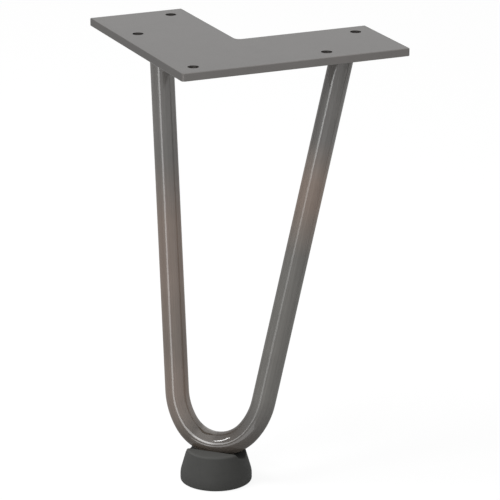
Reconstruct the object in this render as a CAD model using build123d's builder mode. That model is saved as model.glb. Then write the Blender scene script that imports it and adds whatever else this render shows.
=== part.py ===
from build123d import *

import os
from math import acos, atan2, cos, degrees, hypot, radians, sin, sqrt, tan

# Hairpin table leg, in millimetres. The origin is the middle of the foot's sole, on the floor.
# +Z is up, the two rods spread along X, and the plate's outer corner points towards -Y.

# Whole leg
leg_height = 221.0  # floor to the plate's upper face
lean_angle = 14.0  # degrees from upright, the foot standing out towards the plate's outer corner

# Mounting plate
arm_length = 120.0
arm_width = 50.0
plate_thickness = 4.0
outer_corner_radius = 2.0
end_corner_radius = 0.7  # the two corners at each arm's end
inner_corner_radius = 3.0
plate_edge_break = 0.3
screw_hole_diameter = 5.5
screw_hole_inset = 10.0  # hole centre from its nearest edges

# Bent rod
rod_diameter = 12.0
rod_inset = 20.0  # rod axis from the arm's end and inner edge, at the plate's upper face
nose_radius = 21.0  # centreline of the bend over the foot
nose_half_angle = 52.5  # degrees of bend on each side of the nose's lowest point
shoulder_radius = 34.0  # centreline of the wider bend between the nose and each straight

# Weld beads
weld_leg = 3.0  # width on the plate and height on the rod
weld_toe = 0.4  # thickness at the bead's lower edge

# Foot
sole_diameter = 36.0
rim_diameter = 29.0
foot_height = 16.8
skirt_height = 4.6  # upright part of the side, under the taper
skirt_blend_radius = 12.0
sole_edge_break = 0.9
rim_edge_break = 0.8
sole_thickness = 13.0  # floor to the rod's underside
saddle_radius = 6.4  # a little wider than the rod, which lies along its middle
saddle_clearance = 0.2

# Places that follow from the sizes
rod_radius = rod_diameter / 2
underside = leg_height - plate_thickness
half_right = sqrt(0.5)  # sine and cosine of 45 degrees
lean = radians(lean_angle)
rod_low = sole_thickness + rod_radius  # height of the rod's axis over the foot
rod_rise = leg_height - rod_low
rod_top_x = (arm_length - arm_width) * half_right
rod_top_y = rod_rise * tan(lean)
corner_y = rod_top_y - (arm_length + arm_width - 2 * rod_inset) * half_right
plate_plane = Plane((0, corner_y, underside), x_dir=(1, 1, 0), z_dir=(0, 0, 1))
hairpin_plane = Plane((0, 0, rod_low), x_dir=(1, 0, 0), z_dir=(0, -cos(lean), sin(lean)))

# Each straight is the tangent from the rod's top point to its shoulder's circle
nose_half = radians(nose_half_angle)
shoulder_x = (nose_radius - shoulder_radius) * sin(nose_half)
shoulder_y = nose_radius - (nose_radius - shoulder_radius) * cos(nose_half)
reach_x = rod_top_x - shoulder_x
reach_y = rod_rise / cos(lean) - shoulder_y
splay = acos(shoulder_radius / hypot(reach_x, reach_y)) - atan2(reach_y, reach_x)
shoulder_angle = 90 - nose_half_angle - degrees(splay)
rod_top = Vector(rod_top_x, rod_top_y, leg_height)
rod_direction = Vector(sin(splay), cos(splay) * sin(lean), cos(splay) * cos(lean))

os.makedirs("parts", exist_ok=True)

# Mounting plate: a flat steel angle with a screw hole at its corner and two in each arm
inner_corner = (arm_width, arm_width)
far_hole = arm_length - screw_hole_inset
side_hole = arm_length - arm_width + screw_hole_inset
inner_hole = arm_width - screw_hole_inset
with BuildPart() as mounting_plate:
    with BuildSketch(plate_plane) as plate_outline:
        with BuildLine():
            Polyline(
                (0, 0),
                (arm_length, 0),
                (arm_length, arm_width),
                inner_corner,
                (arm_width, arm_length),
                (0, arm_length),
                close=True,
            )
        make_face()
        fillet(plate_outline.vertices().sort_by_distance((0, 0))[2:], end_corner_radius)
        fillet(plate_outline.vertices().sort_by_distance(inner_corner)[0], inner_corner_radius)
        fillet(plate_outline.vertices().sort_by_distance((0, 0))[0], outer_corner_radius)
    extrude(amount=plate_thickness)
    chamfer(mounting_plate.edges().filter_by(Plane.XY), plate_edge_break)
    with Locations(plate_plane.offset(plate_thickness)):
        with Locations(
            (screw_hole_inset, screw_hole_inset),
            (side_hole, screw_hole_inset),
            (far_hole, inner_hole),
            (screw_hole_inset, side_hole),
            (inner_hole, far_hole),
        ):
            Hole(screw_hole_diameter / 2)
mounting_plate.part.label = "mounting_plate"
export_step(mounting_plate.part, "parts/mounting_plate.step")

# Bent rod: two straights, two wide shoulders and a tighter nose, cut flush under the plate
with BuildLine(hairpin_plane) as hairpin_line:
    nose = CenterArc((0, nose_radius), nose_radius, 270 - nose_half_angle, 2 * nose_half_angle)
    shoulder = CenterArc((shoulder_x, shoulder_y), shoulder_radius, 270 + nose_half_angle, shoulder_angle)
    straight = Line(shoulder @ 1, rod_top + rod_direction * rod_radius)
    mirror([shoulder, straight], about=Plane.YZ)
hairpin = hairpin_line.wire()
with BuildPart() as bent_rod:
    with BuildSketch(Plane(hairpin @ 0, z_dir=hairpin % 0)):
        Circle(rod_radius)
    sweep(path=hairpin)
    split(bisect_by=Plane.XY.offset(underside), keep=Keep.BOTTOM)
bent_rod.part.label = "bent_rod"
export_step(bent_rod.part, "parts/bent_rod.step")

# Weld beads: a fillet round each rod end, from the slanted rod's level section out onto the plate
for side, name in ((-1, "weld_left"), (1, "weld_right")):
    end_point = Vector(side * rod_top.X, rod_top.Y, rod_top.Z)
    end_direction = Vector(side * rod_direction.X, rod_direction.Y, rod_direction.Z)
    with BuildPart() as weld:
        for depth, width in ((0, weld_leg), (weld_leg, weld_toe)):
            level_point = end_point - end_direction * ((plate_thickness + depth) / end_direction.Z)
            with BuildSketch(Plane(level_point, x_dir=(end_direction.X, end_direction.Y, 0))):
                Ellipse(rod_radius / end_direction.Z + width, rod_radius + width)
        loft()
        with BuildSketch(Plane(end_point, z_dir=end_direction)):
            Circle(rod_radius)
        extrude(amount=-(plate_thickness + weld_leg + rod_radius), mode=Mode.SUBTRACT)
    weld.part.label = name
    export_step(weld.part, f"parts/{name}.step")

# Foot: a turned, tapered block with a round saddle across it for the rod's nose
sole_corner = (sole_diameter / 2, 0)
skirt_corner = (sole_diameter / 2, skirt_height)
with BuildPart() as foot:
    with BuildSketch(Plane.YZ) as foot_section:
        with BuildLine():
            Polyline(
                (0, 0),
                sole_corner,
                skirt_corner,
                (rim_diameter / 2, foot_height),
                (0, foot_height),
                close=True,
            )
        make_face()
        chamfer(foot_section.vertices().sort_by_distance(sole_corner)[0], sole_edge_break)
        fillet(foot_section.vertices().sort_by_distance(skirt_corner)[0], skirt_blend_radius)
    revolve(axis=Axis.Z)
    with BuildSketch(Plane.YZ):
        with Locations((0, sole_thickness - saddle_clearance + saddle_radius)):
            Circle(saddle_radius)
    extrude(amount=sole_diameter, both=True, mode=Mode.SUBTRACT)
    saddle_edges = foot.faces().sort_by_distance((0, 0, sole_thickness))[0].edges()
    rim_faces = foot.faces().filter_by_position(Axis.Z, foot_height, foot_height)
    chamfer(saddle_edges + rim_faces.edges().filter_by(GeomType.CIRCLE), rim_edge_break)
foot.part.label = "foot"
export_step(foot.part, "parts/foot.step")
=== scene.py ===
from math import acos, atan2, cos, hypot, pi, radians, sin, sqrt, tan

import bpy
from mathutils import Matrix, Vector


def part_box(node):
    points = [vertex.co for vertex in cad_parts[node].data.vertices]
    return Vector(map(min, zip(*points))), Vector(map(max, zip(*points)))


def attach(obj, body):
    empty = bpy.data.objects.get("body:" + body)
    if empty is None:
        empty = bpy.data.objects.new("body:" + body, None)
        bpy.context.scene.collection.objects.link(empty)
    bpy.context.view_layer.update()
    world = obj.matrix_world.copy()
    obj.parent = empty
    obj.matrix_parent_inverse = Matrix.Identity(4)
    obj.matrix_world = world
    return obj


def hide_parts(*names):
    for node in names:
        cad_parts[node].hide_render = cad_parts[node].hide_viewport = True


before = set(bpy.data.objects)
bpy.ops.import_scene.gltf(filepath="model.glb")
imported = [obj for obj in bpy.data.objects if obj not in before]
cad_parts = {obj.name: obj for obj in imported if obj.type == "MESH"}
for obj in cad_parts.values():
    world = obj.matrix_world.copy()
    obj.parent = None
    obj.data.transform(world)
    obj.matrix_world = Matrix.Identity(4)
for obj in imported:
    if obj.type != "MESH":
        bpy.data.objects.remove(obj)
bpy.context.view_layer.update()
plateLow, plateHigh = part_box("mounting_plate")
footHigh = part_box("foot")[1]
scene = bpy.context.scene
scene.view_settings.view_transform = "Standard"
print("frame loaded:", ", ".join(sorted(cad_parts)))


# small helpers for the modelling

def clearSelection():
    if bpy.context.mode != "OBJECT":
        bpy.ops.object.mode_set(mode="OBJECT")
    bpy.ops.object.select_all(action="DESELECT")


def startPiece(name):  # the primitive just added becomes a piece at the origin, in edit mode
    piece = bpy.context.object
    piece.name = name
    piece.data.name = name
    bpy.ops.object.transform_apply(location=True, rotation=True, scale=True)
    bpy.ops.object.mode_set(mode="EDIT")
    bpy.ops.mesh.select_mode(type="VERT")
    bpy.ops.mesh.select_all(action="SELECT")
    return piece


def selectPoints(piece, wanted):  # in edit mode: only the points whose place passes the test
    bpy.ops.mesh.select_mode(type="VERT")
    bpy.ops.mesh.select_all(action="DESELECT")
    bpy.ops.object.mode_set(mode="OBJECT")
    for point in piece.data.vertices:
        point.select = wanted(point.co)
    bpy.ops.object.mode_set(mode="EDIT")


def closeMesh(mergeGap):  # in edit mode: doubles merged, faces turned outwards
    bpy.ops.mesh.select_all(action="SELECT")
    bpy.ops.mesh.remove_doubles(threshold=mergeGap)
    bpy.ops.mesh.normals_make_consistent(inside=False)
    bpy.ops.object.mode_set(mode="OBJECT")


def applyModifier(piece, kind, **settings):
    modifier = piece.modifiers.new(kind.title(), kind)
    for key, value in settings.items():
        setattr(modifier, key, value)
    bpy.context.view_layer.objects.active = piece
    bpy.ops.object.modifier_apply(modifier=modifier.name)


# the bent rod: round bar, one half spun and extruded from the nose, then mirrored

rodShape = {
    "radius": 0.006,
    "leanAngle": radians(14.0),  # away from upright, as it rises
    "axisLow": 0.019,  # height of the bar's middle over the foot
    "topX": 0.0494975,  # half the spread where the axis meets the plate's upper face
    "noseRadius": 0.021,
    "noseHalfAngle": radians(52.5),
    "shoulderRadius": 0.034,
    "sides": 72,
    "noseSteps": 22,
    "shoulderSteps": 12,
    "mirrorGap": 0.00002,
    "mergeGap": 0.00001,
    "smoothAngle": radians(40.0),
}


def hairpinPlan(shape):  # the places that follow from the rod's sizes
    lean = shape["leanAngle"]
    plan = {
        "origin": Vector((0, 0, shape["axisLow"])),
        "normal": Vector((0, -cos(lean), sin(lean))),
        "up": Vector((0, sin(lean), cos(lean))),
    }
    step = shape["noseRadius"] - shape["shoulderRadius"]
    noseHalf = shape["noseHalfAngle"]
    shoulderX = step * sin(noseHalf)
    shoulderUp = shape["noseRadius"] - step * cos(noseHalf)
    riseUp = (plateHigh[2] - shape["axisLow"]) / cos(lean)
    reachX = shape["topX"] - shoulderX
    reachUp = riseUp - shoulderUp
    reach = hypot(reachX, reachUp)
    plan["splay"] = acos(shape["shoulderRadius"] / reach) - atan2(reachUp, reachX)
    plan["shoulderAngle"] = pi / 2 - noseHalf - plan["splay"]
    plan["noseCentre"] = plan["origin"] + plan["up"] * shape["noseRadius"]
    plan["shoulderCentre"] = plan["origin"] + Vector((shoulderX, 0, 0)) + plan["up"] * shoulderUp
    plan["shoulderX"] = shoulderX
    plan["shoulderUp"] = shoulderUp
    plan["straight"] = Vector((sin(plan["splay"]), 0, 0)) + plan["up"] * cos(plan["splay"])
    plan["straightLength"] = sqrt(reach**2 - shape["shoulderRadius"] ** 2)
    plan["top"] = plan["origin"] + Vector((shape["topX"], 0, 0)) + plan["up"] * riseUp
    return plan


hairpin = hairpinPlan(rodShape)


def alongRod(point):  # the point on the same bar, straightened: across, across, length from nose
    local = point - hairpin["origin"]
    x = abs(local.x)
    side = 1 if local.x >= 0 else -1
    up = local.dot(hairpin["up"])
    depth = local.dot(hairpin["normal"])
    noseTurn = atan2(x, rodShape["noseRadius"] - up)
    noseLength = rodShape["noseRadius"] * rodShape["noseHalfAngle"]
    if 0 <= noseTurn <= rodShape["noseHalfAngle"] and up < rodShape["noseRadius"]:
        outwards = hypot(x, up - rodShape["noseRadius"]) - rodShape["noseRadius"]
        return Vector((outwards, depth, side * rodShape["noseRadius"] * noseTurn))
    fromX = x - hairpin["shoulderX"]
    fromUp = up - hairpin["shoulderUp"]
    turn = atan2(fromX, -fromUp) - rodShape["noseHalfAngle"]
    if turn <= hairpin["shoulderAngle"]:
        outwards = hypot(fromX, fromUp) - rodShape["shoulderRadius"]
        return Vector((outwards, depth, side * (noseLength + rodShape["shoulderRadius"] * turn)))
    splay = hairpin["splay"]
    outwards = fromX * cos(splay) - fromUp * sin(splay) - rodShape["shoulderRadius"]
    run = fromX * sin(splay) + fromUp * cos(splay)
    bend = noseLength + rodShape["shoulderRadius"] * hairpin["shoulderAngle"]
    return Vector((outwards, depth, side * (bend + run)))


def makeRod():
    clearSelection()
    bpy.ops.mesh.primitive_circle_add(
        vertices=rodShape["sides"],
        radius=rodShape["radius"],
        location=hairpin["origin"],
        rotation=(0, pi / 2, 0),
    )
    piece = startPiece("hairpin_rod")
    bpy.ops.mesh.spin(
        steps=rodShape["noseSteps"],
        angle=rodShape["noseHalfAngle"],
        center=hairpin["noseCentre"],
        axis=-hairpin["normal"],
    )
    bpy.ops.mesh.spin(
        steps=rodShape["shoulderSteps"],
        angle=hairpin["shoulderAngle"],
        center=hairpin["shoulderCentre"],
        axis=-hairpin["normal"],
    )
    straightRun = hairpin["straight"] * (hairpin["straightLength"] + rodShape["radius"])
    bpy.ops.mesh.extrude_region_move(TRANSFORM_OT_translate={"value": straightRun})
    bpy.ops.mesh.select_all(action="SELECT")
    # cut flush under the plate
    bpy.ops.mesh.bisect(plane_co=plateLow, plane_no=(0, 0, 1), use_fill=True, clear_outer=True)
    bpy.ops.object.mode_set(mode="OBJECT")
    applyModifier(
        piece,
        "MIRROR",
        use_axis=(True, False, False),
        use_mirror_merge=True,
        merge_threshold=rodShape["mirrorGap"],
    )
    bpy.ops.object.mode_set(mode="EDIT")
    closeMesh(rodShape["mergeGap"])
    bpy.ops.object.shade_smooth_by_angle(angle=rodShape["smoothAngle"])
    run = piece.data.attributes.new("alongRod", "FLOAT_VECTOR", "POINT")
    for point in piece.data.vertices:
        run.data[point.index].vector = alongRod(point.co)
    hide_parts("bent_rod")
    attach(piece, "root")
    return piece


rod = makeRod()
print("rod:", len(rod.data.polygons), "faces")


# the weld beads: a rippled fillet round each rod end

weldShape = {
    "reach": 0.003,  # width on the plate and height on the rod
    "toe": 0.0004,
    "bite": 0.0002,  # how far the bead runs into the rod
    "columns": 120,
    "rippleColumns": 4,  # columns from one ripple to the next
    "rippleSize": 0.016,  # share of the radius
    "rings": (0.32, 0.62, 0.86, 1.0),  # depth of each ring under the plate, as a share of the reach
    "lags": (0, 1, 1),  # on all rings but the lowest, the ripple stands this many columns back
    "levelGap": 0.00001,  # points closer than this to a level lie on it
    "mergeGap": 0.000001,
    "smoothAngle": radians(50.0),
}


def makeWeld(side, name, node):
    along = Vector((side * hairpin["straight"].x, hairpin["straight"].y, hairpin["straight"].z))
    top = Vector((side * hairpin["top"].x, hairpin["top"].y, hairpin["top"].z))
    heading = atan2(along.y, along.x)
    stretch = 1 / along.z  # the level cut through the slanted bar is an ellipse

    def levelPoint(depth):  # where the rod's axis passes that far under the plate
        return top - along * ((top.z - plateLow[2] + depth) / along.z)

    clearSelection()
    bpy.ops.mesh.primitive_circle_add(
        vertices=weldShape["columns"], radius=1.0, location=levelPoint(0), rotation=(0, 0, heading)
    )
    bead = bpy.context.object
    longWay = rodShape["radius"] * stretch + weldShape["reach"]
    shortWay = rodShape["radius"] + weldShape["reach"]
    bead.scale = (longWay, shortWay, 1)
    startPiece(name)
    width = weldShape["reach"]
    lastCentre = levelPoint(0)
    for share in weldShape["rings"]:  # rings down the bead's face, drawn in towards the rod
        centre = levelPoint(share * weldShape["reach"])
        bpy.ops.mesh.extrude_region_move(TRANSFORM_OT_translate={"value": centre - lastCentre})
        newWidth = weldShape["reach"] + (weldShape["toe"] - weldShape["reach"]) * share
        size = (rodShape["radius"] + newWidth) / (rodShape["radius"] + width)
        bpy.ops.transform.resize(value=(size, size, 1), center_override=centre)
        width = newWidth
        lastCentre = centre
    size = (rodShape["radius"] - weldShape["bite"]) / (rodShape["radius"] + width)
    bpy.ops.mesh.extrude_region_move()  # the lower edge turns in to the rod
    bpy.ops.transform.resize(value=(size, size, 1), center_override=lastCentre)
    bpy.ops.mesh.extrude_region_move(TRANSFORM_OT_translate={"value": levelPoint(0) - lastCentre})
    selectPoints(bead, lambda place: abs(place.z - plateLow[2]) < weldShape["levelGap"])
    bpy.ops.mesh.bridge_edge_loops()
    bpy.ops.object.mode_set(mode="OBJECT")
    for share, lag in zip(weldShape["rings"], weldShape["lags"]):  # ripples, the lower ones behind
        centre = levelPoint(share * weldShape["reach"])

        def onRipple(place):
            offLevel = abs(place.z - centre.z) > weldShape["levelGap"]
            atRod = (place - centre).length < rodShape["radius"] + weldShape["bite"]
            if offLevel or atRod:
                return False
            angle = atan2(place.y - centre.y, place.x - centre.x) - heading
            column = round(angle / (2 * pi) * weldShape["columns"])
            return (column + lag) % weldShape["rippleColumns"] == 0

        bpy.ops.object.mode_set(mode="EDIT")
        selectPoints(bead, onRipple)
        size = 1 + weldShape["rippleSize"]
        bpy.ops.transform.resize(value=(size, size, 1), center_override=centre)
        bpy.ops.object.mode_set(mode="OBJECT")
    bpy.ops.object.mode_set(mode="EDIT")
    closeMesh(weldShape["mergeGap"])
    bpy.ops.object.shade_smooth_by_angle(angle=weldShape["smoothAngle"])
    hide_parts(node)
    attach(bead, "root")
    return bead


welds = [makeWeld(-1, "weld_bead_left", "weld_left"), makeWeld(1, "weld_bead_right", "weld_right")]
print("welds:", [len(bead.data.polygons) for bead in welds], "faces")


# the foot: a turned block with a round saddle for the rod's nose

footShape = {
    "soleRadius": 0.018,
    "rimRadius": 0.0145,
    "height": footHigh[2],
    "skirtHeight": 0.0046,
    "skirtBlend": 0.012,
    "soleEdge": 0.0009,
    "saddleRadius": 0.0064,
    "saddleLow": 0.0128,
    "saddleShare": 0.999,  # the part of the saddle's radius over which its height is read
    "edgeRound": 0.0009,  # how far the rounding runs from each upper edge
    "crestRound": 0.0006,  # height over which the horns' level tops turn down into the saddle
    "middleRadius": 0.0003,
    "columns": 240,
    "soleSteps": 4,
    "blendSteps": 8,
    "sideSteps": 6,
    "edgeSteps": 6,
    "topSteps": 48,
    "edgeTries": 12,  # rounds that find where the taper meets the upper surface
    "mergeGap": 0.000001,
    "smoothAngle": radians(35.0),
}


def footTop(across):  # height of the upper surface: the saddle and the level horns beside it
    radius = footShape["saddleRadius"]
    reach = min(abs(across), footShape["saddleShare"] * radius)
    saddle = footShape["saddleLow"] + radius - sqrt(radius**2 - reach**2)
    ease = max(footShape["crestRound"] - abs(saddle - footShape["height"]), 0)
    return min(saddle, footShape["height"]) - ease**2 / (4 * footShape["crestRound"])


def between(start, end, share):
    return tuple(first + (last - first) * share for first, last in zip(start, end))


def footColumn(turn):  # radius and height of each ring at this turn, from the sole to the middle
    shape = footShape
    rings = []
    for step in range(shape["soleSteps"] + 1):  # rounded lower edge
        angle = pi / 2 * step / shape["soleSteps"]
        edge = shape["soleEdge"]
        rings.append((shape["soleRadius"] - edge * (1 - sin(angle)), edge * (1 - cos(angle))))
    taper = atan2(shape["soleRadius"] - shape["rimRadius"], shape["height"] - shape["skirtHeight"])
    start = shape["skirtHeight"] - shape["skirtBlend"] * sin(taper) / (1 + cos(taper))
    for step in range(shape["blendSteps"] + 1):  # the upright skirt bends over into the taper
        angle = taper * step / shape["blendSteps"]
        inwards = shape["skirtBlend"] * (1 - cos(angle))
        rings.append((shape["soleRadius"] - inwards, start + shape["skirtBlend"] * sin(angle)))
    radius = shape["rimRadius"]
    for attempt in range(shape["edgeTries"]):  # where the taper meets the upper surface
        height = footTop(radius * sin(turn))
        radius = shape["rimRadius"] + (shape["height"] - height) * tan(taper)
    corner = (radius, height)
    edge = shape["edgeRound"]
    outer = (radius + edge * sin(taper), height - edge * cos(taper))
    inner = (radius - edge, footTop((radius - edge) * sin(turn)))
    blendEnd = rings[-1]
    for step in range(1, shape["sideSteps"] + 1):
        rings.append(between(blendEnd, outer, step / shape["sideSteps"]))
    for step in range(1, shape["edgeSteps"] + 1):  # rounded upper edge
        share = step / shape["edgeSteps"]
        rings.append(between(between(outer, corner, share), between(corner, inner, share), share))
    for step in range(1, shape["topSteps"] + 1):
        reach = inner[0] + (shape["middleRadius"] - inner[0]) * step / shape["topSteps"]
        rings.append((reach, footTop(reach * sin(turn))))
    return rings


def makeFoot():
    columns = footShape["columns"]
    profiles = [footColumn(2 * pi * column / columns) for column in range(columns)]
    clearSelection()
    soleRadius = profiles[0][0][0]
    bpy.ops.mesh.primitive_circle_add(
        vertices=columns, radius=soleRadius, fill_type="NGON", location=(0, 0, 0)
    )
    piece = startPiece("floor_foot")
    for level in range(1, len(profiles[0])):  # each ring is drawn out of the last, then shaped
        bpy.ops.mesh.extrude_region_move()
        bpy.ops.object.mode_set(mode="OBJECT")
        for point in piece.data.vertices:
            if point.select:
                turn = atan2(point.co.y, point.co.x)
                radius, height = profiles[round(turn / (2 * pi) * columns) % columns][level]
                point.co = (radius * cos(turn), radius * sin(turn), height)
        bpy.ops.object.mode_set(mode="EDIT")
    closeMesh(footShape["mergeGap"])
    bpy.ops.object.shade_smooth_by_angle(angle=footShape["smoothAngle"])
    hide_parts("foot")
    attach(piece, "root")
    return piece


foot = makeFoot()
print("foot:", len(foot.data.polygons), "faces")


# materials

fullRange = (0.0, 1.0)  # of a mask
colourSockets = {"first": 6, "second": 7, "result": 2}  # of a mix node that mixes colours


def newMaterial(name):
    material = bpy.data.materials.new(name)
    material.use_nodes = True
    nodes = material.node_tree.nodes
    return material, nodes, material.node_tree.links, nodes["Principled BSDF"]


def addNode(nodes, kind, **values):  # a node with its settings, and its sockets' values by name
    node = nodes.new(kind)
    for key, value in values.items():
        if hasattr(node, key):
            setattr(node, key, value)
        else:
            node.inputs[key.replace("_", " ")].default_value = value
    return node


def newGroup(name, takes, gives):
    group = bpy.data.node_groups.new(name, "ShaderNodeTree")
    for label, kind in takes:
        group.interface.new_socket(name=label, in_out="INPUT", socket_type=kind)
    for label, kind in gives:
        group.interface.new_socket(name=label, in_out="OUTPUT", socket_type=kind)
    inside = group.nodes.new("NodeGroupInput")
    outside = group.nodes.new("NodeGroupOutput")
    return group, inside, outside


def makeClouding():  # slow uneven patches, as rolling and handling leave them
    takes = [
        ("Vector", "NodeSocketVector"),
        ("Size", "NodeSocketFloat"),
        ("Depth", "NodeSocketFloat"),
    ]
    gives = [("Shade", "NodeSocketFloat"), ("Patch", "NodeSocketFloat")]
    group, inside, outside = newGroup("clouding", takes, gives)
    links = group.links
    noise = addNode(group.nodes, "ShaderNodeTexNoise", Detail=5.0, Roughness=0.6)
    links.new(inside.outputs["Vector"], noise.inputs["Vector"])
    links.new(inside.outputs["Size"], noise.inputs["Scale"])
    centred = addNode(group.nodes, "ShaderNodeMath", operation="SUBTRACT")
    centred.inputs[1].default_value = 0.5  # the noise's middle
    links.new(noise.outputs["Fac"], centred.inputs[0])
    scaled = addNode(group.nodes, "ShaderNodeMath", operation="MULTIPLY_ADD")
    scaled.inputs[2].default_value = 1.0
    links.new(centred.outputs[0], scaled.inputs[0])
    links.new(inside.outputs["Depth"], scaled.inputs[1])
    links.new(scaled.outputs[0], outside.inputs["Shade"])
    links.new(noise.outputs["Fac"], outside.inputs["Patch"])
    return group


def makeGrain():  # fine grain or drawn lines: the stretch sets how long they run
    takes = [
        ("Vector", "NodeSocketVector"),
        ("Stretch", "NodeSocketVector"),
        ("Size", "NodeSocketFloat"),
    ]
    group, inside, outside = newGroup("grain", takes, [("Height", "NodeSocketFloat")])
    links = group.links
    stretched = addNode(group.nodes, "ShaderNodeVectorMath", operation="MULTIPLY")
    links.new(inside.outputs["Vector"], stretched.inputs[0])
    links.new(inside.outputs["Stretch"], stretched.inputs[1])
    noise = addNode(group.nodes, "ShaderNodeTexNoise", Detail=3.0, Roughness=0.55)
    links.new(stretched.outputs[0], noise.inputs["Vector"])
    links.new(inside.outputs["Size"], noise.inputs["Scale"])
    links.new(noise.outputs["Fac"], outside.inputs["Height"])
    return group


clouding = makeClouding()
grain = makeGrain()


def placeGroup(nodes, links, group, vector, **values):
    node = nodes.new("ShaderNodeGroup")
    node.node_tree = group
    links.new(vector, node.inputs["Vector"])
    for key, value in values.items():
        node.inputs[key].default_value = value
    return node


def shadeColour(nodes, links, colour, shade):  # a colour times a shade that varies over the surface
    mix = addNode(nodes, "ShaderNodeMix", data_type="RGBA", blend_type="MULTIPLY")
    mix.inputs["Factor"].default_value = 1.0
    if isinstance(colour, tuple):
        mix.inputs[colourSockets["first"]].default_value = (*colour, 1)
    else:
        links.new(colour, mix.inputs[colourSockets["first"]])
    links.new(shade, mix.inputs[colourSockets["second"]])
    return mix.outputs[colourSockets["result"]]


def mixColours(nodes, links, first, second, share):  # from the first colour to the second
    mix = addNode(nodes, "ShaderNodeMix", data_type="RGBA")
    mix.inputs[colourSockets["first"]].default_value = (*first, 1)
    mix.inputs[colourSockets["second"]].default_value = (*second, 1)
    links.new(share, mix.inputs["Factor"])
    return mix.outputs[colourSockets["result"]]


def spread(nodes, links, value, start, end):  # a value in one range, carried over to another
    node = addNode(nodes, "ShaderNodeMapRange")
    node.inputs["From Min"].default_value, node.inputs["From Max"].default_value = start
    node.inputs["To Min"].default_value, node.inputs["To Max"].default_value = end
    links.new(value, node.inputs["Value"])
    return node.outputs["Result"]


def bumpFrom(nodes, links, height, strength, distance):
    bump = addNode(nodes, "ShaderNodeBump")
    bump.inputs["Strength"].default_value = strength
    bump.inputs["Distance"].default_value = distance
    links.new(height, bump.inputs["Height"])
    return bump.outputs["Normal"]


def roughen(nodes, links, surface, place, finish):  # clouds for the colour, grain in the surface
    clouds = placeGroup(
        nodes, links, clouding, place, Size=finish["cloudSize"], Depth=finish["cloudDepth"]
    )
    lines = placeGroup(
        nodes, links, grain, place, Size=finish["grainSize"], Stretch=finish["grainStretch"]
    )
    height = lines.outputs["Height"]
    bump = bumpFrom(nodes, links, height, finish["grainStrength"], finish["grainDepth"])
    links.new(bump, surface.inputs["Normal"])
    return clouds, height


plateFinish = {
    "colour": (0.187, 0.177, 0.1695),
    "edge": (0.35, 0.35, 0.35),
    "roughness": (0.28, 0.42),
    "cloudSize": 70.0,
    "cloudDepth": 0.16,
    "grainSize": 2600.0,
    "grainStretch": (1, 1, 1),
    "grainStrength": 0.25,
    "grainDepth": 0.00004,
    "lacquer": 0.69,
    "lacquerRoughness": 0.22,
}


def makePlateSteel():
    material, nodes, links, surface = newMaterial("plateSteel")
    place = addNode(nodes, "ShaderNodeTexCoord").outputs["Object"]
    clouds, pores = roughen(nodes, links, surface, place, plateFinish)
    shaded = shadeColour(nodes, links, plateFinish["colour"], clouds.outputs["Shade"])
    links.new(shaded, surface.inputs["Base Color"])
    roughness = spread(nodes, links, pores, fullRange, plateFinish["roughness"])
    links.new(roughness, surface.inputs["Roughness"])
    surface.inputs["Metallic"].default_value = 1.0
    surface.inputs["Specular Tint"].default_value = (*plateFinish["edge"], 1)
    surface.inputs["Coat Weight"].default_value = plateFinish["lacquer"]
    surface.inputs["Coat Roughness"].default_value = plateFinish["lacquerRoughness"]
    return material


rodFinish = {
    "length": 0.22,  # from the nose to either end
    "grey": (0.258, 0.248, 0.237),
    "leftGrey": (0.22, 0.212, 0.201),
    "warm": (0.298, 0.241, 0.205),
    "rightWarm": (0.35, 0.289, 0.25),
    "brown": (0.245, 0.207, 0.179),
    "noseLeft": (0.147, 0.122, 0.099),
    "nose": (0.15, 0.13, 0.113),
    "noseRight": (0.198, 0.188, 0.178),
    "olive": (0.258, 0.25, 0.236),
    "edge": (0.3, 0.3, 0.3),
    "roughness": (0.82, 1.0),
    "cloudSize": 90.0,
    "cloudDepth": 0.2,
    "grainSize": 1400.0,
    "grainStretch": (1, 1, 0.012),  # long lines down the bar
    "grainStrength": 0.12,
    "grainDepth": 0.00003,
    "lacquerRoughness": 0.08,
    "lacquerDepth": 2.0,  # refraction of the lacquer
}
rodTints = [  # place along the rod from the nose, the colour and the lacquer's share there; the colours are partly the steel's own tint and partly painted reflection and shade, set band by band
    (-0.186, "grey", 0.45),
    (-0.155, "leftGrey", 0.43),
    (-0.122, "warm", 0.45),
    (-0.095, "warm", 0.45),
    (-0.060, "brown", 0.43),
    (-0.035, "warm", 0.47),
    (-0.022, "brown", 0.52),
    (-0.0122, "nose", 0.5),
    (-0.0095, "noseLeft", 0.94),
    (-0.001, "noseLeft", 0.94),
    (0.0015, "nose", 0.53),
    (0.012, "nose", 0.47),
    (0.024, "noseRight", 0.32),
    (0.040, "olive", 0.2),
    (0.060, "olive", 0.19),
    (0.112, "olive", 0.19),
    (0.138, "rightWarm", 0.26),
    (0.150, "rightWarm", 0.29),
    (0.172, "grey", 0.42),
]


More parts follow.
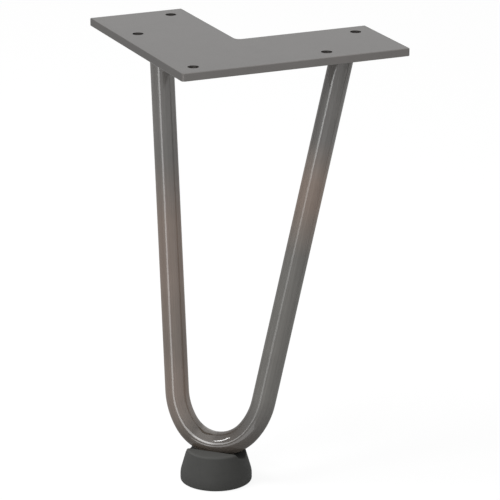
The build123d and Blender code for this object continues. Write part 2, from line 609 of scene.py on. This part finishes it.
def makeRodSteel():
    material, nodes, links, surface = newMaterial("rodSteel")
    run = addNode(nodes, "ShaderNodeAttribute", attribute_name="alongRod")
    place = run.outputs["Vector"]
    length = addNode(nodes, "ShaderNodeSeparateXYZ")
    links.new(place, length.inputs[0])
    wholeRod = (-rodFinish["length"], rodFinish["length"])
    rampPlace = spread(nodes, links, length.outputs["Z"], wholeRod, fullRange)
    # the rod's colour bands: partly the steel's own tint, partly painted reflection and shade
    tints = addNode(nodes, "ShaderNodeValToRGB")
    ramp = tints.color_ramp  # has two stops from the start
    for number, (where, tint, lacquer) in enumerate(rodTints):
        position = 0.5 + where / (2 * rodFinish["length"])
        stop = ramp.elements[number] if number < 2 else ramp.elements.new(position)
        stop.position = position
        stop.color = (*rodFinish[tint], lacquer)
    links.new(rampPlace, tints.inputs["Fac"])
    clouds, lines = roughen(nodes, links, surface, place, rodFinish)
    shaded = shadeColour(nodes, links, tints.outputs["Color"], clouds.outputs["Shade"])
    links.new(shaded, surface.inputs["Base Color"])
    roughness = spread(nodes, links, lines, fullRange, rodFinish["roughness"])
    links.new(roughness, surface.inputs["Roughness"])
    surface.inputs["Metallic"].default_value = 1.0
    links.new(tints.outputs["Alpha"], surface.inputs["Coat Weight"])
    surface.inputs["Coat Roughness"].default_value = rodFinish["lacquerRoughness"]
    surface.inputs["Coat IOR"].default_value = rodFinish["lacquerDepth"]
    surface.inputs["Specular Tint"].default_value = (*rodFinish["edge"], 1)
    return material


weldFinish = {
    "colour": (0.19, 0.178, 0.166),
    "heat": (0.17, 0.125, 0.09),  # straw and brown patches that the welding heat leaves
    "heatSize": 110.0,
    "roughness": (0.5, 0.8),
    "cloudSize": 240.0,
    "cloudDepth": 0.6,
    "grainSize": 1800.0,
    "grainStretch": (1, 1, 1),
    "grainStrength": 0.3,
    "grainDepth": 0.00008,
    "lacquer": 0.45,
    "lacquerRoughness": 0.18,
}


def makeWeldSteel():
    material, nodes, links, surface = newMaterial("weldSteel")
    place = addNode(nodes, "ShaderNodeTexCoord").outputs["Object"]
    clouds = roughen(nodes, links, surface, place, weldFinish)[0]
    heat = placeGroup(nodes, links, clouding, place, Size=weldFinish["heatSize"]).outputs["Patch"]
    tinted = mixColours(nodes, links, weldFinish["colour"], weldFinish["heat"], heat)
    shaded = shadeColour(nodes, links, tinted, clouds.outputs["Shade"])
    links.new(shaded, surface.inputs["Base Color"])
    roughness = spread(nodes, links, clouds.outputs["Patch"], fullRange, weldFinish["roughness"])
    links.new(roughness, surface.inputs["Roughness"])
    surface.inputs["Metallic"].default_value = 1.0
    surface.inputs["Coat Weight"].default_value = weldFinish["lacquer"]
    surface.inputs["Coat Roughness"].default_value = weldFinish["lacquerRoughness"]
    return material


footFinish = {
    "colour": (0.056, 0.056, 0.0535),
    "paintedTopLight": (0.088, 0.088, 0.084),  # painted light: paler on the level tops, standing in for the light that falls on them from above
    "paintedTopLightHeight": (0.0158, 0.0166),  # height at which the painted light starts and is full
    "roughness": (0.55, 0.72),
    "gloss": 0.2,
    "cloudSize": 160.0,
    "cloudDepth": 0.25,
    "grainSize": 3800.0,
    "grainStretch": (1, 1, 1),
    "grainStrength": 0.35,
    "grainDepth": 0.00006,
}


def makeFootPlastic():
    material, nodes, links, surface = newMaterial("footPlastic")
    place = addNode(nodes, "ShaderNodeTexCoord").outputs["Object"]
    clouds, pores = roughen(nodes, links, surface, place, footFinish)
    level = addNode(nodes, "ShaderNodeSeparateXYZ")
    links.new(place, level.inputs[0])
    # painted light: the level tops are made paler, as if lit from above
    paintedTopLight = spread(nodes, links, level.outputs["Z"], footFinish["paintedTopLightHeight"], fullRange)
    paintedTopLit = mixColours(nodes, links, footFinish["colour"], footFinish["paintedTopLight"], paintedTopLight)
    shaded = shadeColour(nodes, links, paintedTopLit, clouds.outputs["Shade"])
    links.new(shaded, surface.inputs["Base Color"])
    roughness = spread(nodes, links, pores, fullRange, footFinish["roughness"])
    links.new(roughness, surface.inputs["Roughness"])
    surface.inputs["Specular IOR Level"].default_value = footFinish["gloss"]
    return material


def dress(piece, material):
    piece.data.materials.clear()
    piece.data.materials.append(material)


dress(rod, makeRodSteel())
weldSteel = makeWeldSteel()
for bead in welds:
    dress(bead, weldSteel)
dress(foot, makeFootPlastic())
plateSteel = makePlateSteel()  # the plate keeps its own mesh
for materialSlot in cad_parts["mounting_plate"].material_slots:
    materialSlot.material = plateSteel
print("materials set")


# studio: pale floor, white surroundings, soft lamps

studio = {
    "floorSize": 14.0,
    "floorGap": 0.0002,  # under the foot's sole
    "floorColour": (0.9, 0.9, 0.9, 1),
    "floorBright": 1.06,
    "floorShare": 0.85,  # how much of the floor's look is plain white, the rest takes the shadow
    "mirroredBright": (0.38, 0.63),  # the floor where it shows in metal, with painted shade near the object: close by, and farther off
    "mirroredReach": (0.035, 0.085),  # the distances over which the painted shade fades out
    "contactGap": 0.002,  # closer to the floor than this counts as touching it
    "surroundings": (1, 1, 1, 1),
    "ambient": 0.42,
    "sideBright": (0.55, 1.0),  # the surroundings in metal: at the far left, and elsewhere
    "sideReach": (-0.95, -0.5),  # the headings along X between which that changes
}
darkBoard = {  # stands to the right and shows in metal alone, as a thin dark line down each rod
    "place": (0.245, 0.08, 0.11),
    "heading": radians(11.0),
    "width": 0.042,
    "height": 0.22,
    "colour": (0.02, 0.02, 0.02, 1),
}
lamps = {  # width and height in metres; a lamp can be left out of mirrored or of soft light
    "keyLamp": {
        "place": (-0.82, -0.98, 0.96),
        "aim": (0, 0.02, 0.1),
        "size": (0.55, 0.125),
        "power": 4.6,
    },
    "streakLamp": {
        "place": (-0.643, -2.104, 0.515),
        "aim": (0, 0.02, 0.2),
        "size": (0.6, 0.63),
        "power": 4.5,
    },
    "softLamp": {
        "place": (-0.66, -0.42, 1.42),
        "aim": (0, 0.02, 0.08),
        "size": (0.7, 0.7),
        "power": 12.0,
        "mirrored": False,
    },
    "cardLamp": {  # a pale card on the floor, which shows as a band on the bend
        "place": (0, -0.41, 0.001),
        "aim": (0, -0.41, 1),
        "size": (0.11, 0.7),
        "power": 0.4,
        "soft": False,
    },
}


def higher(nodes, links, first, second):  # the larger of two values
    node = addNode(nodes, "ShaderNodeMath", operation="MAXIMUM")
    links.new(first, node.inputs[0])
    links.new(second, node.inputs[1])
    return node.outputs[0]


def makeWorld():
    world = bpy.data.worlds.new("studioWorld")
    scene.world = world
    world.use_nodes = True
    world.cycles.sampling_method = "NONE"  # even light, so each ray kind finds its own strength
    nodes, links = world.node_tree.nodes, world.node_tree.links
    path = addNode(nodes, "ShaderNodeLightPath")
    straight = path.outputs["Is Camera Ray"]
    seen = nodes["Background"]
    seen.inputs["Color"].default_value = studio["surroundings"]
    heading = addNode(nodes, "ShaderNodeSeparateXYZ")
    links.new(addNode(nodes, "ShaderNodeTexCoord").outputs["Generated"], heading.inputs[0])
    side = spread(nodes, links, heading.outputs["X"], studio["sideReach"], studio["sideBright"])
    links.new(higher(nodes, links, side, straight), seen.inputs["Strength"])
    soft = addNode(nodes, "ShaderNodeBackground", Color=studio["surroundings"])
    soft.inputs["Strength"].default_value = studio["ambient"]
    mix = addNode(nodes, "ShaderNodeMixShader")
    links.new(higher(nodes, links, straight, path.outputs["Is Glossy Ray"]), mix.inputs[0])
    links.new(soft.outputs[0], mix.inputs[1])
    links.new(seen.outputs[0], mix.inputs[2])
    links.new(mix.outputs[0], nodes["World Output"].inputs["Surface"])


def makeFloor():
    clearSelection()
    bpy.ops.mesh.primitive_plane_add(size=studio["floorSize"], location=(0, 0, -studio["floorGap"]))
    floor = bpy.context.object
    floor.name = "studio_floor"
    bpy.ops.object.transform_apply(location=True, rotation=True, scale=True)
    material, nodes, links, surface = newMaterial("floorWhite")
    material.cycles.emission_sampling = "NONE"
    nodes.remove(surface)
    matte = addNode(nodes, "ShaderNodeBsdfDiffuse", Color=studio["floorColour"])
    bright = addNode(nodes, "ShaderNodeEmission")
    path = addNode(nodes, "ShaderNodeLightPath")
    mirrored = path.outputs["Is Glossy Ray"]
    distance = path.outputs["Ray Length"]
    # painted shade: in metal the floor shows darker the closer it lies to the surface that shows it
    fade = spread(nodes, links, distance, studio["mirroredReach"], studio["mirroredBright"])
    strength = addNode(nodes, "ShaderNodeMix", data_type="FLOAT")
    strength.inputs["A"].default_value = studio["floorBright"]
    links.new(mirrored, strength.inputs["Factor"])
    links.new(fade, strength.inputs["B"])
    links.new(strength.outputs["Result"], bright.inputs["Strength"])
    share = addNode(nodes, "ShaderNodeMath", operation="MULTIPLY_ADD")
    share.inputs[1].default_value = studio["floorShare"]
    links.new(path.outputs["Is Camera Ray"], share.inputs[0])
    links.new(mirrored, share.inputs[2])
    mix = addNode(nodes, "ShaderNodeMixShader")
    links.new(share.outputs[0], mix.inputs[0])
    links.new(matte.outputs[0], mix.inputs[1])
    links.new(bright.outputs[0], mix.inputs[2])
    # soft light reaches the foot from below too
    near = addNode(nodes, "ShaderNodeMath", operation="LESS_THAN")
    near.inputs[1].default_value = studio["contactGap"]
    links.new(distance, near.inputs[0])
    touch = addNode(nodes, "ShaderNodeMath", operation="MULTIPLY")
    links.new(near.outputs[0], touch.inputs[0])
    links.new(path.outputs["Is Diffuse Ray"], touch.inputs[1])
    side = addNode(nodes, "ShaderNodeNewGeometry")
    clear = addNode(nodes, "ShaderNodeBsdfTransparent")  # from below, so that the underside shows
    twoSides = addNode(nodes, "ShaderNodeMixShader")
    openShare = higher(nodes, links, side.outputs["Backfacing"], touch.outputs[0])
    links.new(openShare, twoSides.inputs[0])
    links.new(mix.outputs[0], twoSides.inputs[1])
    links.new(clear.outputs[0], twoSides.inputs[2])
    links.new(twoSides.outputs[0], nodes["Material Output"].inputs["Surface"])
    dress(floor, material)


def makeBoard():
    clearSelection()
    turn = (pi / 2, 0, pi / 2 + darkBoard["heading"])
    bpy.ops.mesh.primitive_plane_add(size=1, location=darkBoard["place"], rotation=turn)
    board = bpy.context.object
    board.name = "dark_board"
    board.scale = (darkBoard["width"], darkBoard["height"], 1)
    bpy.ops.object.transform_apply(location=True, rotation=True, scale=True)
    board.visible_camera = False
    board.visible_diffuse = False
    board.visible_shadow = False
    material, nodes, links, surface = newMaterial("boardBlack")
    nodes.remove(surface)
    matte = addNode(nodes, "ShaderNodeBsdfDiffuse", Color=darkBoard["colour"])
    links.new(matte.outputs[0], nodes["Material Output"].inputs["Surface"])
    dress(board, material)


def makeLamp(name, settings):
    lamp = bpy.data.lights.new(name, "AREA")
    lamp.shape = "RECTANGLE"
    lamp.size, lamp.size_y = settings["size"]
    lamp.energy = settings["power"]
    holder = bpy.data.objects.new(name, lamp)
    scene.collection.objects.link(holder)
    holder.location = settings["place"]
    aim = Vector(settings["aim"]) - Vector(settings["place"])
    holder.rotation_euler = aim.to_track_quat("-Z", "Y").to_euler()
    holder.visible_camera = False
    holder.visible_glossy = settings.get("mirrored", True)
    holder.visible_diffuse = settings.get("soft", True)


makeWorld()
makeFloor()
makeBoard()
for lampName, lampSettings in lamps.items():
    makeLamp(lampName, lampSettings)
print("studio set")


# camera

view = {
    "target": Vector((0.018901, -0.00156, 0.123871)),
    "distance": 1.50616,
    "azimuth": radians(21.049),
    "elevation": radians(18.194),
    "lens": 221.556,
    "sensor": 36,
    "farthest": 50,
}


def makeCamera():
    lens = bpy.data.cameras.new("photoCamera")
    lens.lens = view["lens"]
    lens.sensor_width = view["sensor"]
    lens.clip_end = view["farthest"]
    camera = bpy.data.objects.new("photoCamera", lens)
    scene.collection.objects.link(camera)
    azimuth = view["azimuth"]
    level = cos(view["elevation"])
    outwards = Vector((sin(azimuth) * level, -cos(azimuth) * level, sin(view["elevation"])))
    camera.location = view["target"] + outwards * view["distance"]
    camera.rotation_euler = outwards.to_track_quat("Z", "Y").to_euler()
    scene.camera = camera


makeCamera()
print("camera set")
